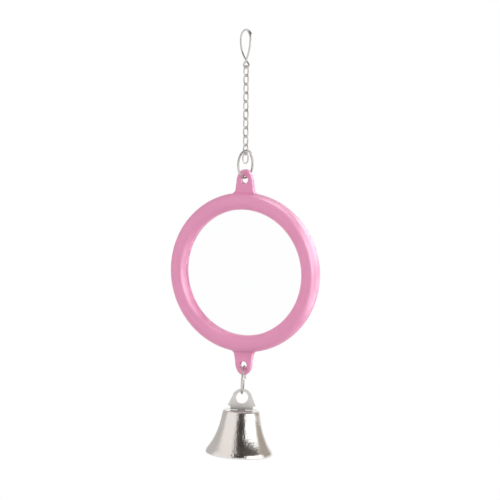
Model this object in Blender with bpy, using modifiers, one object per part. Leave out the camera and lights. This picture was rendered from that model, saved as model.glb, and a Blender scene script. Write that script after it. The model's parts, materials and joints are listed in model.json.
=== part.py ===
"""Hanging bird mirror: spring clip, cable chain, framed two-sided mirror and a bell with its clapper.

The origin is where the cage bar sits, on the inside of the clip's arch. +Z is up, the mirror faces -Y.
"""

import math

import bmesh
import bpy
from mathutils import Matrix, Vector

MM = 0.001

# Clearances
HANG_GAP = 0.2 * MM  # between wires, or a wire and a hole, that hang on one another
FIT_GAP = 0.3 * MM  # round a fixed piece in its seat, and at the seam of the two frame halves

# Spring clip, bent from one wire
CLIP_WIRE = 0.8 * MM
CLIP_SPAN = 7.0 * MM  # across the arch's ellipse, between wire centres
CLIP_ARCH = 4.3 * MM  # crest of the arch down to its widest point
CLIP_DROP = 16.6 * MM  # bar seat down to the wire centre at the bottom of the eye
CLIP_EYE = 1.0 * MM  # radius of the eye, to the wire's centre
CLIP_CROSSING = 1.6 * MM  # sideways step of the wire over its turn round the eye
CLIP_NOSE = math.radians(30)  # the arch stops this far above its widest point
CLIP_GATE_START = math.radians(10)  # where the gate's hook begins to follow the arch
CLIP_GATE_TIP = math.radians(62)  # where it ends, beside the arch
CLIP_EYE_OPEN = math.radians(45)  # either side of the eye's top, where the two strands leave it
CLIP_EYE_PULL = 4.5 * MM  # how far a strand keeps the direction in which it leaves the eye
CLIP_BACK_PULL = 5.5 * MM  # the same where the back strand leaves the arch
CLIP_GATE_PULL = 2.5 * MM  # and where the gate runs into its hook
CLIP_TURN = math.radians(-20)

# Cable chain
LINK_COUNT = 10
LINK_WIRE = 0.65 * MM
LINK_LENGTH = 5.38 * MM
LINK_WIDTH = 3.2 * MM
TAIL_TURN = math.radians(48)

# Jump rings, cut and left slightly open
RING_WIRE = 1.0 * MM
RING_DIAMETER = 13.2 * MM
RING_CUT = 0.5 * MM
RING_OFFSET = 0.6 * MM  # sideways step between the two cut ends
UPPER_RING_TURN = math.radians(81)
UPPER_RING_CUT = math.radians(48)  # place of the cut, up from the ring's rear
LOWER_RING_TURN = math.radians(109)
LOWER_RING_CUT = math.radians(-8)

# Mirror frame, two moulded halves that meet at the middle of its depth
FRAME_DIAMETER = 72.0 * MM
FRAME_DEPTH = 9.6 * MM
RIM_WIDTH = 7.9 * MM
RIM_SQUARENESS = 2.25  # 2 gives an elliptical section, more a squarer one
RIM_WALL = 1.3 * MM
RIM_HOLLOW = 2.6 * MM  # depth of the channel in each half
LIP_EDGE = 2.1 * MM  # from the middle plane to the edge of the lip
PANE_THICKNESS = 0.5 * MM
PANE_COVER = 1.5 * MM  # how far the lip covers the pane's edge
PEG_COUNT = 6
PEG_RADIUS = 0.9 * MM
PEG_REACH = 2.2 * MM  # how far a peg stands past the middle plane
PEG_ROOT = 0.25 * MM  # how far pegs and sockets are sunk into the roof of the channel

# Lugs at the top and bottom of the frame
LUG_THICKNESS = 2.7 * MM
LUG_WIDTH = 7.9 * MM
LUG_HOLE_RADIUS = 1.7 * MM
LUG_RISE = 5.8 * MM  # frame's edge to the hole's centre
LUG_EDGE = 2.9 * MM  # hole to the tip of the lug
LUG_TAPER = 1.5 * MM  # the lug narrows from this far behind the hole's centre
LUG_DRAFT = math.radians(9)  # slope of its sides from there down to the frame
LUG_FILLET = 2.0 * MM

# Bell, its hanger plate and its clapper
BELL_MOUTH = 30.2 * MM
BELL_CROWN = 16.5 * MM
BELL_HEIGHT = 20.1 * MM
BELL_WALL = 0.6 * MM
BELL_LIP = 0.9 * MM  # upright band at the mouth
BELL_SHOULDER = 0.9 * MM  # rounding of the crown's edge
BELL_FLARE = 0.42  # share of the widening that runs straight, the rest comes near the mouth
BELL_CURVE = 2.9  # power by which that rest grows
BELL_TILT = math.radians(-2.9)
HANGER_THICKNESS = 0.9 * MM
HANGER_HOLE_RADIUS = 2.75 * MM
HANGER_EDGE = 1.15 * MM  # hole to the plate's top
HANGER_SIDE = 1.7 * MM  # hole to the plate's sides
HANGER_ROUND = math.radians(8)  # above this, up from the side, the plate is round about its hole
HANGER_SHOULDER = 12.4 * MM
HANGER_NECK = 10.2 * MM
HANGER_STEP = 1.4 * MM  # height of the notch under the shoulders
HANGER_RISE = 5.7 * MM  # crown to the hole's centre
HANGER_RELIEF = 0.15 * MM  # step by which the base hollows from its ends to the tongue
HANGER_TURN = math.radians(30)
PRONG_WIDTH = 1.7 * MM
PRONG_PLACE = 3.4 * MM  # prong's middle to the bell's axis
PRONG_FOLD = 2.4 * MM  # length that is folded flat inside the crown
TONGUE_WIDTH = 3.4 * MM
TONGUE_HOLE_RADIUS = 0.9 * MM
TONGUE_EDGE = 0.8 * MM
TONGUE_DROP = 2.6 * MM  # crown's inside to the middle of the tongue's hole
CLAPPER_WIRE = 0.8 * MM
CLAPPER_EYE = 2.0 * MM  # radius of the clapper's eye, to the wire's centre
CLAPPER_EYE_START = math.radians(-40)
CLAPPER_EYE_END = math.radians(205)
CLAPPER_NECK = 5.0 * MM  # wire in the tongue's hole to where the stem runs straight down
CLAPPER_LENGTH = 10.0 * MM  # wire in the tongue's hole to the middle of the ball
CLAPPER_BALL = 5.4 * MM

# Facets of turned and round shapes, and points along wires and outlines
FRAME_STEPS = 64
BELL_STEPS = 48
BALL_STEPS = 20
BALL_PROFILE_STEPS = 11
RIM_STEPS = 12
WALL_STEPS = 9
RING_STEPS = 36
EYE_STEPS = 14
STRAND_STEPS = 8
HOOK_STEPS = 6
BEND_STEPS = 7
LUG_STEPS = 9
CORNER_STEPS = 5
SMALL_STEPS = 16
HOLE_STEPS = 20

# Sizes that follow from the ones above
FRAME_RADIUS = FRAME_DIAMETER / 2
RIM_MIDDLE = FRAME_RADIUS - RIM_WIDTH / 2
SEAM = FIT_GAP / 2
PANE_FACE = SEAM + PANE_THICKNESS
LIP_SHARE = (2 * LIP_EDGE / FRAME_DEPTH) ** RIM_SQUARENESS
LIP_RADIUS = RIM_MIDDLE - RIM_WIDTH / 2 * (1 - LIP_SHARE) ** (1 / RIM_SQUARENESS)
PANE_RADIUS = LIP_RADIUS + PANE_COVER
POCKET_RADIUS = PANE_RADIUS + FIT_GAP
POCKET_FLOOR = PANE_FACE + FIT_GAP
CHANNEL_INNER = POCKET_RADIUS + RIM_WALL
CHANNEL_OUTER = FRAME_RADIUS - RIM_WALL
PEG_CIRCLE = (CHANNEL_INNER + CHANNEL_OUTER) / 2
LUG_HOLE_PLACE = FRAME_RADIUS + LUG_RISE
LUG_TIP = LUG_HOLE_RADIUS + LUG_EDGE
LINK_BEND = (LINK_WIDTH - LINK_WIRE) / 2
LINK_SPAN = LINK_LENGTH - LINK_WIRE
RING_RADIUS = (RING_DIAMETER - RING_WIRE) / 2


def ring_seat(thickness, hole, skew):
    """From a ring's wire centre to the edge of the plate's hole that it crosses askew."""
    inner = RING_RADIUS - RING_WIRE / 2
    sag = inner - math.sqrt(inner**2 - (thickness / 2) ** 2)
    room = hole - RING_WIRE / 2
    sideways = thickness / 2 * math.tan(abs(skew)) + RING_OFFSET / 4
    climb = room - math.sqrt(room**2 - sideways**2)
    return RING_WIRE / 2 + sag + climb + HANG_GAP


# Heights, from the bar seat down
EYE_Z = -CLIP_DROP
FIRST_LINK_RISE = (CLIP_WIRE + LINK_WIRE) / 2 + HANG_GAP
LINK_RISE = LINK_WIRE + HANG_GAP
LINK_PIVOTS = [EYE_Z]
for number in range(LINK_COUNT):
    rise = FIRST_LINK_RISE if number == 0 else LINK_RISE
    LINK_PIVOTS.append(LINK_PIVOTS[-1] + rise - LINK_SPAN)
TAIL_PIVOT = LINK_PIVOTS[-1]
UPPER_RING_PIVOT = TAIL_PIVOT + LINK_RISE
UPPER_RING_RISE = (LINK_WIRE + RING_WIRE) / 2 + HANG_GAP
FRAME_PIVOT = UPPER_RING_PIVOT + UPPER_RING_RISE - 2 * RING_RADIUS
UPPER_SEAT = ring_seat(LUG_THICKNESS, LUG_HOLE_RADIUS, UPPER_RING_TURN - math.pi / 2)
LOWER_SEAT = ring_seat(LUG_THICKNESS, LUG_HOLE_RADIUS, LOWER_RING_TURN - math.pi / 2)
HANGER_SKEW = LOWER_RING_TURN - math.pi / 2 - HANGER_TURN
HANGER_SEAT = ring_seat(HANGER_THICKNESS, HANGER_HOLE_RADIUS, HANGER_SKEW)
MIRROR_Z = FRAME_PIVOT + UPPER_SEAT - LUG_HOLE_RADIUS - LUG_HOLE_PLACE
LOWER_RING_PIVOT = MIRROR_Z - LUG_HOLE_PLACE - LUG_HOLE_RADIUS + LOWER_SEAT
HANGER_HOLE_DROP = HANGER_HOLE_RADIUS - HANGER_SEAT  # below the ring's wire
CROWN_DROP = HANGER_HOLE_DROP + HANGER_RISE
TONGUE_HOLE_DROP = CROWN_DROP + BELL_WALL + TONGUE_DROP
CLAPPER_PIVOT_DROP = TONGUE_HOLE_DROP + TONGUE_HOLE_RADIUS - CLAPPER_WIRE / 2 - HANG_GAP


def start():
    """Clears the scene and returns the collections for the parts and for the cutters."""
    for obj in list(bpy.data.objects):
        bpy.data.objects.remove(obj, do_unlink=True)
    groups = []
    for name in ("bird_mirror", "cutters"):
        group = bpy.data.collections.new(name)
        bpy.context.scene.collection.children.link(group)
        groups.append(group)
    return groups


PARTS, CUTTERS = start()


def material(name, colour, roughness, metallic):
    finish = bpy.data.materials.new(name)
    finish.use_nodes = True
    shader = finish.node_tree.nodes["Principled BSDF"]
    shader.inputs["Base Color"].default_value = (*colour, 1)
    shader.inputs["Roughness"].default_value = roughness
    shader.inputs["Metallic"].default_value = metallic
    return finish


PINK = material("pink_plastic", (0.72, 0.27, 0.43), 0.3, 0)
SILVERING = material("mirror_silver", (0.93, 0.94, 0.95), 0.02, 1)
NICKEL = material("nickel_wire", (0.68, 0.67, 0.65), 0.2, 1)
BELL_PLATE = material("bell_plating", (0.76, 0.73, 0.7), 0.12, 1)
STEEL = material("clapper_steel", (0.5, 0.5, 0.5), 0.4, 1)


def add(name, data, finish=None, helper=False):
    """A new object in the parts, or a hidden helper in the cutters."""
    obj = bpy.data.objects.new(name, data)
    (CUTTERS if helper else PARTS).objects.link(obj)
    if helper:
        obj.hide_render = True
        obj.display_type = "WIRE"
    if finish:
        data.materials.append(finish)
    return obj


def hang(piece, place, parent=None):
    """Puts a piece at its place in the world, and makes it follow its parent."""
    piece.matrix_basis = place
    if parent:
        piece.parent = parent
        piece.matrix_parent_inverse = parent.matrix_basis.inverted()


def at(height, turn=0.0):
    return Matrix.Translation((0, 0, height)) @ Matrix.Rotation(turn, 4, "Z")


def wire(name, points, diameter, finish, closed=False):
    """A round wire along the points."""
    data = bpy.data.curves.new(name, "CURVE")
    data.dimensions = "3D"
    data.bevel_depth = diameter / 2
    data.bevel_resolution = 2
    data.use_fill_caps = True
    spline = data.splines.new("POLY")
    spline.points.add(len(points) - 1)
    for target, point in zip(spline.points, points):
        target.co = (*point, 1)
    spline.use_cyclic_u = closed
    return add(name, data, finish)


def plate_mesh(name, outlines, thickness):
    """A flat plate in XY from closed outlines, the inner ones cutting holes, as a mesh."""
    data = bpy.data.curves.new(name, "CURVE")
    data.dimensions = "2D"
    data.fill_mode = "BOTH"
    data.extrude = thickness / 2
    for outline in outlines:
        spline = data.splines.new("POLY")
        spline.points.add(len(outline) - 1)
        for target, point in zip(spline.points, outline):
            target.co = (point[0], point[1], 0, 1)
        spline.use_cyclic_u = True
    curve = add(name, data, helper=True)
    mesh = bpy.data.meshes.new_from_object(curve.evaluated_get(bpy.context.evaluated_depsgraph_get()))
    bpy.data.objects.remove(curve, do_unlink=True)
    shape = bmesh.new()
    shape.from_mesh(mesh)
    bmesh.ops.remove_doubles(shape, verts=shape.verts, dist=1e-6)
    shape.to_mesh(mesh)
    shape.free()
    return mesh


def turned(name, profile, steps, finish, closed):
    """A profile of (radius, height) points turned about Z."""
    edges = [(index, index + 1) for index in range(len(profile) - 1)]
    if closed:
        edges.append((len(profile) - 1, 0))
    data = bpy.data.meshes.new(name)
    data.from_pydata([(radius, 0, height) for radius, height in profile], edges, [])
    obj = add(name, data, finish)
    screw = obj.modifiers.new("turn", "SCREW")
    screw.steps = steps
    screw.render_steps = steps
    screw.use_merge_vertices = True
    screw.merge_threshold = 1e-6
    screw.use_smooth_shade = True
    return obj


def solids(name, makers):
    """One helper mesh from several boxes and cylinders, each given as a function on a bmesh."""
    shape = bmesh.new()
    for maker in makers:
        maker(shape)
    data = bpy.data.meshes.new(name)
    shape.to_mesh(data)
    shape.free()
    return add(name, data, helper=True)


def cylinder(radius, low, high, place=(0, 0), segments=SMALL_STEPS):
    """Adds an upright cylinder between two heights."""

    def maker(shape):
        middle = Matrix.Translation((*place, (low + high) / 2))
        bmesh.ops.create_cone(
            shape,
            cap_ends=True,
            segments=segments,
            radius1=radius,
            radius2=radius,
            depth=high - low,
            matrix=middle,
        )

    return maker


def box(low, high):
    """Adds a box between two corners."""

    def maker(shape):
        middle = (Vector(low) + Vector(high)) / 2
        size = Matrix.Diagonal((*(Vector(high) - Vector(low)), 1))
        bmesh.ops.create_cube(shape, size=1, matrix=Matrix.Translation(middle) @ size)

    return maker


def combine(target, helper, operation):
    """Joins a helper to the target, or cuts it out."""
    hang(helper, target.matrix_basis, target.parent)
    change = target.modifiers.new(helper.name, "BOOLEAN")
    change.operation = operation
    change.object = helper


def spread(first, last, count):
    """Evenly spaced values from first to last."""
    return [first + (last - first) * index / (count - 1) for index in range(count)]


def arc(middle, across, up, first, last, count):
    """Points on an ellipse from one angle to another."""
    return [
        (middle[0] + across * math.cos(angle), middle[1] + up * math.sin(angle))
        for angle in spread(first, last, count)
    ]


def circle(radius, middle, segments):
    return arc(middle, radius, radius, 0, 2 * math.pi, segments + 1)[:-1]


def bend(start, start_pull, end, end_pull, count):
    """Points of a smooth bend between two places, without its two ends."""
    points = []
    for share in spread(0, 1, count + 2)[1:-1]:
        rest = 1 - share
        points.append(
            rest**3 * start
            + 3 * rest**2 * share * (start + start_pull)
            + 3 * rest * share**2 * (end - end_pull)
            + share**3 * end
        )
    return points


def arch_point(angle, side=0.0):
    """On the arch's ellipse or beside it. Angle 0 is at its widest, towards the gate."""
    height = CLIP_WIRE / 2 - CLIP_ARCH + CLIP_ARCH * math.sin(angle)
    return Vector((CLIP_SPAN / 2 * math.cos(angle), side, height))


def eye_point(angle):
    """On the eye, whose turn steps sideways from the back strand to the gate."""
    middle = -math.pi / 2
    half_turn = math.pi - CLIP_EYE_OPEN
    side = CLIP_CROSSING / 2 * (angle - middle) / half_turn
    return Vector((CLIP_EYE * math.cos(angle), side, EYE_Z + CLIP_EYE + CLIP_EYE * math.sin(angle)))


EYE_FIRST = math.pi / 2 - CLIP_EYE_OPEN  # where the back strand runs into the eye
EYE_LAST = -3 * math.pi / 2 + CLIP_EYE_OPEN  # where the gate leaves it, after most of a turn


def eye_heading(angle):
    return Vector((math.sin(angle), 0, -math.cos(angle)))


def make_clip():
    """The arch, the back strand and the eye in one wire, and the gate that swings from the eye."""
    arch = [arch_point(angle) for angle in spread(CLIP_NOSE, math.pi, EYE_STEPS)]
    eye_end = EYE_LAST + FIT_GAP / CLIP_EYE
    eye = [eye_point(angle) for angle in spread(EYE_FIRST, eye_end, EYE_STEPS)]
    down = Vector((0, 0, -CLIP_BACK_PULL))
    back = bend(arch[-1], down, eye[0], eye_heading(EYE_FIRST) * CLIP_EYE_PULL, STRAND_STEPS)
    clip = wire("hanging_clip", arch + back + eye, CLIP_WIRE, NICKEL)
    hang(clip, at(0, CLIP_TURN))

    beside = -CLIP_WIRE - HANG_GAP
    hook = [arch_point(angle, beside) for angle in spread(CLIP_GATE_START, CLIP_GATE_TIP, HOOK_STEPS)]
    pivot = eye_point(EYE_LAST)
    away = eye_heading(EYE_LAST) * CLIP_EYE_PULL
    up = Vector((0, 0, CLIP_GATE_PULL))
    strand = bend(pivot, away, hook[0], up, STRAND_STEPS)
    points = [point - pivot for point in [pivot] + strand + hook]
    gate = wire("clip_gate", points, CLIP_WIRE, NICKEL)
    hang(gate, clip.matrix_basis @ Matrix.Translation(pivot), clip)
    return clip


def link_points(rise):
    """The centre line of a link, whose top wire passes this far above the wire it hangs on."""
    top = (0, rise - LINK_BEND)
    bottom = (0, rise - LINK_SPAN + LINK_BEND)
    upper = arc(top, LINK_BEND, LINK_BEND, 0, math.pi, BEND_STEPS)
    lower = arc(bottom, LINK_BEND, LINK_BEND, math.pi, 2 * math.pi, BEND_STEPS)
    return [(x, 0, z) for x, z in upper + lower]


def make_chain(clip):
    """The carrying links, each a quarter turn from the last, and the spare link at the end."""
    above = clip
    for number in range(LINK_COUNT):
        rise = FIRST_LINK_RISE if number == 0 else LINK_RISE
        link = wire(f"chain_link_{number + 1:02d}", link_points(rise), LINK_WIRE, NICKEL, closed=True)
        hang(link, at(LINK_PIVOTS[number], CLIP_TURN + (number + 1) * math.pi / 2), above)
        above = link
    tail = wire("chain_tail_link", link_points(LINK_RISE), LINK_WIRE, NICKEL, closed=True)
    hang(tail, at(TAIL_PIVOT, TAIL_TURN), above)
    return above


def jump_ring(name, middle, cut_place):
    """An open ring in XZ round a middle that is this far above its joint."""
    opening = RING_CUT / RING_RADIUS / 2
    points = []
    for share in spread(0, 1, RING_STEPS):
        angle = cut_place + opening + share * (2 * math.pi - 2 * opening)
        side = RING_OFFSET * (share - 0.5)
        points.append((RING_RADIUS * math.cos(angle), side, middle + RING_RADIUS * math.sin(angle)))
    return wire(name, points, RING_WIRE, NICKEL)


def rim_point(angle):
    """On the rounded outside of the rim's section. Angle 0 is its outermost point."""
    power = 2 / RIM_SQUARENESS
    across = math.copysign(abs(math.cos(angle)) ** power, math.cos(angle))
    out = math.sin(angle) ** power
    return (RIM_MIDDLE + RIM_WIDTH / 2 * across, FRAME_DEPTH / 2 * out)


def rim_angle(height):
    """Where the section reaches this height above the middle plane, on its outer side."""
    return math.asin((2 * height / FRAME_DEPTH) ** (RIM_SQUARENESS / 2))


def rim_profile():
    """Half of the rim in section: domed outside, lip and pocket for the pane, hollow behind."""
    inner = math.pi - rim_angle(LIP_EDGE)
    dome = [rim_point(angle) for angle in spread(inner, rim_angle(SEAM), RIM_STEPS)]
    channel_roof = SEAM + RIM_HOLLOW
    return dome + [
        (CHANNEL_OUTER, SEAM),
        (CHANNEL_OUTER, channel_roof),
        (CHANNEL_INNER, channel_roof),
        (CHANNEL_INNER, SEAM),
        (POCKET_RADIUS, SEAM),
        (POCKET_RADIUS, POCKET_FLOOR),
        (LIP_RADIUS, POCKET_FLOOR),
    ]


def lug_outline(sign):
    """A lug with a rounded tip and filleted feet, up from the frame (1) or down from it (-1)."""
    half = LUG_WIDTH / 2
    side = Vector((half, LUG_HOLE_PLACE - LUG_TAPER))
    tip = arc((0, side.y), half, LUG_TIP + LUG_TAPER, 0, math.pi / 2, LUG_STEPS)
    down = Vector((math.sin(LUG_DRAFT), -math.cos(LUG_DRAFT)))
    beside = side + LUG_FILLET * Vector((math.cos(LUG_DRAFT), math.sin(LUG_DRAFT)))
    along = -beside.dot(down)
    drop = along - math.sqrt(along**2 - beside.length_squared + (FRAME_RADIUS + LUG_FILLET) ** 2)
    middle = beside + drop * down  # of the fillet that touches the lug's side and the frame
    foot = math.pi + math.atan2(middle.y, middle.x)
    fillet = arc(middle, LUG_FILLET, LUG_FILLET, foot, math.pi + LUG_DRAFT, CORNER_STEPS)
    root = (fillet[0][0], CHANNEL_OUTER - RIM_WALL)
    right = [root] + fillet + tip
    left = [(-x, y) for x, y in reversed(right[:-1])]
    return [(x, sign * y) for x, y in right + left]


def lug_mesh():
    outlines = []
    for sign in (1, -1):
        outlines.append(lug_outline(sign))
        outlines.append(circle(LUG_HOLE_RADIUS, (0, sign * LUG_HOLE_PLACE), HOLE_STEPS))
    return plate_mesh("lugs", outlines, LUG_THICKNESS / 2 - SEAM)


def peg_places():
    return circle(PEG_CIRCLE, (0, 0), PEG_COUNT)


def make_frame(ring):
    """Both halves of the frame, with the two panes between them, on one joint at the upper lug."""
    joint = bpy.data.objects.new("frame_joint", None)
    PARTS.objects.link(joint)
    hang(joint, at(FRAME_PIVOT), ring)
    facing = Matrix.Rotation(math.pi / 2, 4, "X")
    front_place = at(MIRROR_Z) @ facing
    rear_place = at(MIRROR_Z, math.pi) @ facing
    lugs = lug_mesh()
    roof = SEAM + RIM_HOLLOW + PEG_ROOT

    for side, place in (("front", front_place), ("rear", rear_place)):
        half = turned(f"{side}_frame", rim_profile(), FRAME_STEPS, PINK, closed=True)
        hang(half, place, joint)
        ears = add(f"{side}_lugs", lugs.copy(), helper=True)
        ears.data.transform(Matrix.Translation((0, 0, (SEAM + LUG_THICKNESS / 2) / 2)))
        combine(half, ears, "UNION")
        if side == "front":
            pegs = [cylinder(PEG_RADIUS, -PEG_REACH, roof, spot) for spot in peg_places()]
            combine(half, solids("pegs", pegs), "UNION")
        else:
            hole = PEG_RADIUS + HANG_GAP
            wall = hole + RIM_WALL / 2
            depth = PEG_REACH + FIT_GAP
            bosses = [cylinder(wall, SEAM + HANG_GAP, roof, spot) for spot in peg_places()]
            holes = [cylinder(hole, 0, depth, spot) for spot in peg_places()]
            combine(half, solids("sockets", bosses), "UNION")
            combine(half, solids("socket_holes", holes), "DIFFERENCE")
        pane = pane_object(f"{side}_mirror")
        hang(pane, place, joint)
    return joint


def pane_object(name):
    shape = bmesh.new()
    cylinder(PANE_RADIUS, SEAM, PANE_FACE, segments=FRAME_STEPS)(shape)
    data = bpy.data.meshes.new(name)
    shape.to_mesh(data)
    shape.free()
    return add(name, data, SILVERING)


def bell_radius(drop):
    """Outside of the bell at a height below its crown."""
    share = min(drop / (BELL_HEIGHT - BELL_LIP), 1)
    widening = BELL_FLARE * share + (1 - BELL_FLARE) * share**BELL_CURVE
    return BELL_CROWN / 2 + (BELL_MOUTH - BELL_CROWN) / 2 * widening


def bell_profile():
    """Crown, flared wall and upright lip, with the inside a wall's thickness in."""
    corner = (BELL_CROWN / 2 - BELL_SHOULDER, -BELL_SHOULDER)
    shoulder = arc(corner, BELL_SHOULDER, BELL_SHOULDER, math.pi / 2, 0, CORNER_STEPS)
    drops = spread(BELL_SHOULDER * 2, BELL_HEIGHT - BELL_LIP, WALL_STEPS)
    wall = [(bell_radius(drop), -drop) for drop in drops]
    lip = [(BELL_MOUTH / 2, -BELL_HEIGHT), (BELL_MOUTH / 2 - BELL_WALL, -BELL_HEIGHT)]
    inside = [(bell_radius(drop) - BELL_WALL, -drop) for drop in reversed(drops)]
    roof = [(BELL_CROWN / 2 - BELL_SHOULDER, -BELL_WALL), (0, -BELL_WALL)]
    return [(0, 0)] + shoulder + wall + lip + inside + roof


def hanger_outline():
    """The plate with its eye, shoulders and neck, and what goes through the crown."""
    base = -HANGER_RISE + HANG_GAP
    notch = base + HANGER_STEP
    shoulder = notch + HANGER_STEP / 2
    fold = -HANGER_RISE - BELL_WALL - FIT_GAP - HANGER_THICKNESS / 2
    tongue_end = -HANGER_RISE - BELL_WALL - TONGUE_DROP - TONGUE_HOLE_RADIUS - TONGUE_EDGE
    tongue = [(TONGUE_WIDTH / 2, tongue_end), (TONGUE_WIDTH / 2, base + 3 * HANGER_RELIEF)]
    prong = [
        (PRONG_PLACE - PRONG_WIDTH / 2, base + 2 * HANGER_RELIEF),
        (PRONG_PLACE - PRONG_WIDTH / 2, fold),
        (PRONG_PLACE + PRONG_WIDTH / 2, fold),
        (PRONG_PLACE + PRONG_WIDTH / 2, base + HANGER_RELIEF),
    ]
    neck = [(HANGER_NECK / 2, base), (HANGER_NECK / 2, notch)]
    ear = [(HANGER_SHOULDER / 2, notch + HANGER_STEP / 4), (HANGER_SHOULDER / 2, shoulder)]
    across = HANGER_HOLE_RADIUS + HANGER_SIDE
    up = HANGER_HOLE_RADIUS + HANGER_EDGE
    round_top = arc((0, 0), across, up, HANGER_ROUND, math.pi / 2, BEND_STEPS)
    right = tongue + prong + neck + ear + round_top
    left = [(-x, y) for x, y in reversed(right[:-1])]
    return right + left


def make_bell(ring, swing):
    """The bell and its hanger, whose eye slides round the lower ring, and the clapper inside."""
    joint = bpy.data.objects.new("bell_joint", None)
    PARTS.objects.link(joint)
    hang(joint, swing @ at(-RING_RADIUS, LOWER_RING_TURN), ring)
    bell_place = swing @ at(-2 * RING_RADIUS, HANGER_TURN)

    shell = turned("bell_shell", bell_profile(), BELL_STEPS, BELL_PLATE, closed=False)
    hang(shell, bell_place @ Matrix.Translation((0, 0, -CROWN_DROP)), joint)
    half_slot = HANGER_THICKNESS / 2 + FIT_GAP
    slots = []
    for middle, width in ((0, TONGUE_WIDTH), (-PRONG_PLACE, PRONG_WIDTH), (PRONG_PLACE, PRONG_WIDTH)):
        reach = width / 2 + FIT_GAP
        low = (middle - reach, -half_slot, -2 * BELL_WALL)
        slots.append(box(low, (middle + reach, half_slot, BELL_WALL)))
    combine(shell, solids("crown_slots", slots), "DIFFERENCE")

    tongue_hole = (0, -HANGER_RISE - BELL_WALL - TONGUE_DROP)
    outlines = [
        hanger_outline(),
        circle(HANGER_HOLE_RADIUS, (0, 0), HOLE_STEPS),
        circle(TONGUE_HOLE_RADIUS, tongue_hole, SMALL_STEPS),
    ]
    plate = plate_mesh("bell_hanger", outlines, HANGER_THICKNESS)
    plate.transform(Matrix.Rotation(math.pi / 2, 4, "X"))
    hanger = add("bell_hanger", plate, BELL_PLATE)
    hang(hanger, bell_place @ Matrix.Translation((0, 0, -HANGER_HOLE_DROP)), joint)
    folds = []
    for side in (-1, 1):
        top = -HANGER_RISE - BELL_WALL - FIT_GAP
        near = -side * HANGER_THICKNESS / 4
        far = side * (HANGER_THICKNESS / 2 + PRONG_FOLD)
        reach = PRONG_WIDTH / 2 + HANG_GAP / 4
        low = (side * PRONG_PLACE - reach, min(near, far), top - HANGER_THICKNESS)
        folds.append(box(low, (side * PRONG_PLACE + reach, max(near, far), top)))
    combine(hanger, solids("prong_folds", folds), "UNION")
    make_clapper(joint, bell_place)


def make_clapper(bell, bell_place):
    """A wire with an eye through the tongue's hole, and the ball on its end."""
    place = bell_place @ at(-CLAPPER_PIVOT_DROP, math.pi / 2)
    middle = (0, -CLAPPER_EYE)
    eye = arc(middle, CLAPPER_EYE, CLAPPER_EYE, CLAPPER_EYE_START, CLAPPER_EYE_END, RING_STEPS // 2)
    stem_line = eye + [(0, -CLAPPER_NECK), (0, -CLAPPER_LENGTH - CLAPPER_BALL / 2)]
    stem = wire("clapper_wire", [(x, 0, z) for x, z in stem_line], CLAPPER_WIRE, STEEL)
    hang(stem, place, bell)

    radius = CLAPPER_BALL / 2
    bore = math.acos((CLAPPER_WIRE / 2 + HANG_GAP) / radius)
    ball_profile = arc((0, -CLAPPER_LENGTH), radius, radius, bore, -bore, BALL_PROFILE_STEPS)
    ball = turned("clapper_ball", ball_profile, BALL_STEPS, STEEL, closed=True)
    hang(ball, place, stem)


def main():
    clip = make_clip()
    last_link = make_chain(clip)
    upper = jump_ring("upper_jump_ring", UPPER_RING_RISE - RING_RADIUS, UPPER_RING_CUT)
    hang(upper, at(UPPER_RING_PIVOT, UPPER_RING_TURN), last_link)
    frame = make_frame(upper)
    lower = jump_ring("lower_jump_ring", -RING_RADIUS, LOWER_RING_CUT)
    to_viewer = Matrix.Rotation(LOWER_RING_TURN, 3, "Z") @ Vector((-1, 0, 0))
    swing = Matrix.Translation((0, 0, LOWER_RING_PIVOT)) @ Matrix.Rotation(BELL_TILT, 4, to_viewer)
    hang(lower, swing @ Matrix.Rotation(LOWER_RING_TURN, 4, "Z"), frame)
    make_bell(lower, swing)


main()
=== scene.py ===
import json
import math

import bmesh
import bpy
from mathutils import Matrix, Vector

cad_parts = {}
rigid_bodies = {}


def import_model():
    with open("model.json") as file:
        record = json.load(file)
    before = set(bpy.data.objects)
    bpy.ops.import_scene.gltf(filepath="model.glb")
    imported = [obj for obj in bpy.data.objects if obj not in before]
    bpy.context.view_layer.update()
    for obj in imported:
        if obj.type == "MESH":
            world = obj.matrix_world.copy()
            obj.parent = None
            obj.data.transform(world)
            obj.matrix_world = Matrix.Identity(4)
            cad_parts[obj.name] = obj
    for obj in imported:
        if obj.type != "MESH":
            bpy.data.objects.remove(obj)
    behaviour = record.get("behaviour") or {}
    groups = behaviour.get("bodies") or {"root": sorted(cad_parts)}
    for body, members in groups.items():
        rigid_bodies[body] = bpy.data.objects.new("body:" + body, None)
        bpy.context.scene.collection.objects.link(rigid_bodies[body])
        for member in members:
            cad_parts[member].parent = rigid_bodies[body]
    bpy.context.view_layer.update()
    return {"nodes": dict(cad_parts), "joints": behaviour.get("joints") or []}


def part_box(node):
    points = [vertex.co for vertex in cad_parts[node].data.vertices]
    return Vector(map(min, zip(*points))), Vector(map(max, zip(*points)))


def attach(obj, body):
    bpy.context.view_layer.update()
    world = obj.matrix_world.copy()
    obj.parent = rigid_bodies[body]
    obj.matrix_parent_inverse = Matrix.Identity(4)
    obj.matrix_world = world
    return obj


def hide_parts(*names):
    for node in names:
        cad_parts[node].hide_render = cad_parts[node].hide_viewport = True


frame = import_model()
scene = bpy.context.scene
scene.view_settings.view_transform = "Standard"
mm = 0.001
pivots = {joint["name"]: Vector(joint["pos_m"]) for joint in frame["joints"]}


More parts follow.
